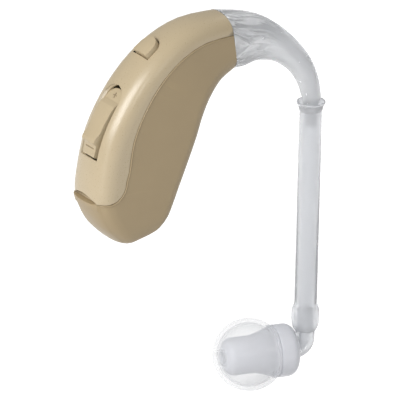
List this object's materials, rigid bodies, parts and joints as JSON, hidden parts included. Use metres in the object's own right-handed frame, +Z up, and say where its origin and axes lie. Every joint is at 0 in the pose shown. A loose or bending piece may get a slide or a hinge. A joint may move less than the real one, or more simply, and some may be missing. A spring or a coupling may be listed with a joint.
{
  "type": "behind-the-ear hearing aid",
  "caption": "Behind-the-ear hearing aid: two-part curved housing with battery door, rocker and button, clear ear hook, sound tube, elbow and domed silicone ear tip.",
  "frame": {"origin": "the underside of the ear hook at its highest point, where it rests on top of the ear, on the housing's middle plane", "axes": "+X from the back of the housing towards the sound tube, +Y across the housing towards the side that the ear tip is turned to, +Z up as worn"},
  "size_m": [0.0451, 0.0125, 0.0667],
  "materials": {
    "back_cover": "satin moulded",
    "flank": "satin moulded",
    "frame_plastic": "matt moulded",
    "control": "satin moulded",
    "steel": "bright",
    "nickel": "bright",
    "board": "solder mask",
    "chip": "moulded",
    "ceramic": "fired",
    "soft_boot": "matt",
    "feed_tube": "matt",
    "coil": "wound",
    "contact": "gold plated",
    "seal": "moulded",
    "clear": "clear moulded",
    "clear_tube": "clear extruded",
    "silicone": "translucent"
  },
  "bodies": {
    "housing": {"spine_cover": "back_cover", "body_shell": "flank", "inner_frame": "frame_plastic", "button_switch": "steel", "rocker_pivot_pin": "steel", "rocker_switches": "steel", "circuit_board": "board", "amplifier_chip": "chip", "board_components": "ceramic", "microphone": "nickel", "microphone_boot": "soft_boot", "receiver": "nickel", "receiver_boot": "soft_boot", "receiver_tube": "feed_tube", "hook_nozzle": "steel", "telecoil": "coil", "positive_contact": "contact", "negative_contact": "contact", "door_hinge_pin": "steel", "ear_hook": "clear", "sound_tube": "clear_tube"},
    "button": {"program_button": "control"},
    "rocker": {"volume_rocker": "control"},
    "door": {"battery_door": "back_cover", "battery_can": "nickel", "battery_grommet": "seal", "battery_cap": "nickel"},
    "elbow": {"tube_elbow": "clear"},
    "tip": {"ear_tip": "silicone"}
  },
  "joints": [
    {"name": "door_hinge", "type": "hinge", "parent": "housing", "child": "door", "pos_m": [-0.0191, 0, -0.0201], "axis": [0, -1, 0], "range_deg": [0, 80]},
    {"name": "rocker_pivot", "type": "hinge", "parent": "housing", "child": "rocker", "pos_m": [-0.02613, 0, -0.00466], "axis": [0, 1, 0], "range_deg": [-4, 4], "stiffness_Nm_per_rad": 0.05},
    {"name": "button_press", "type": "slide", "parent": "housing", "child": "button", "axis": [0.5578, 0, -0.8299], "range_m": [0, 0.00035], "stiffness_N_per_m": 2000},
    {"name": "elbow_swivel", "type": "hinge", "parent": "housing", "child": "elbow", "pos_m": [0.00973, 0, -0.04854], "axis": [0.0244, 0, 0.9997], "continuous": true},
    {"name": "tip_pull_off", "type": "slide", "parent": "elbow", "child": "tip", "axis": [-0.9779, 0.2079, 0.0239], "range_m": [0, 0.004]}
  ]
}
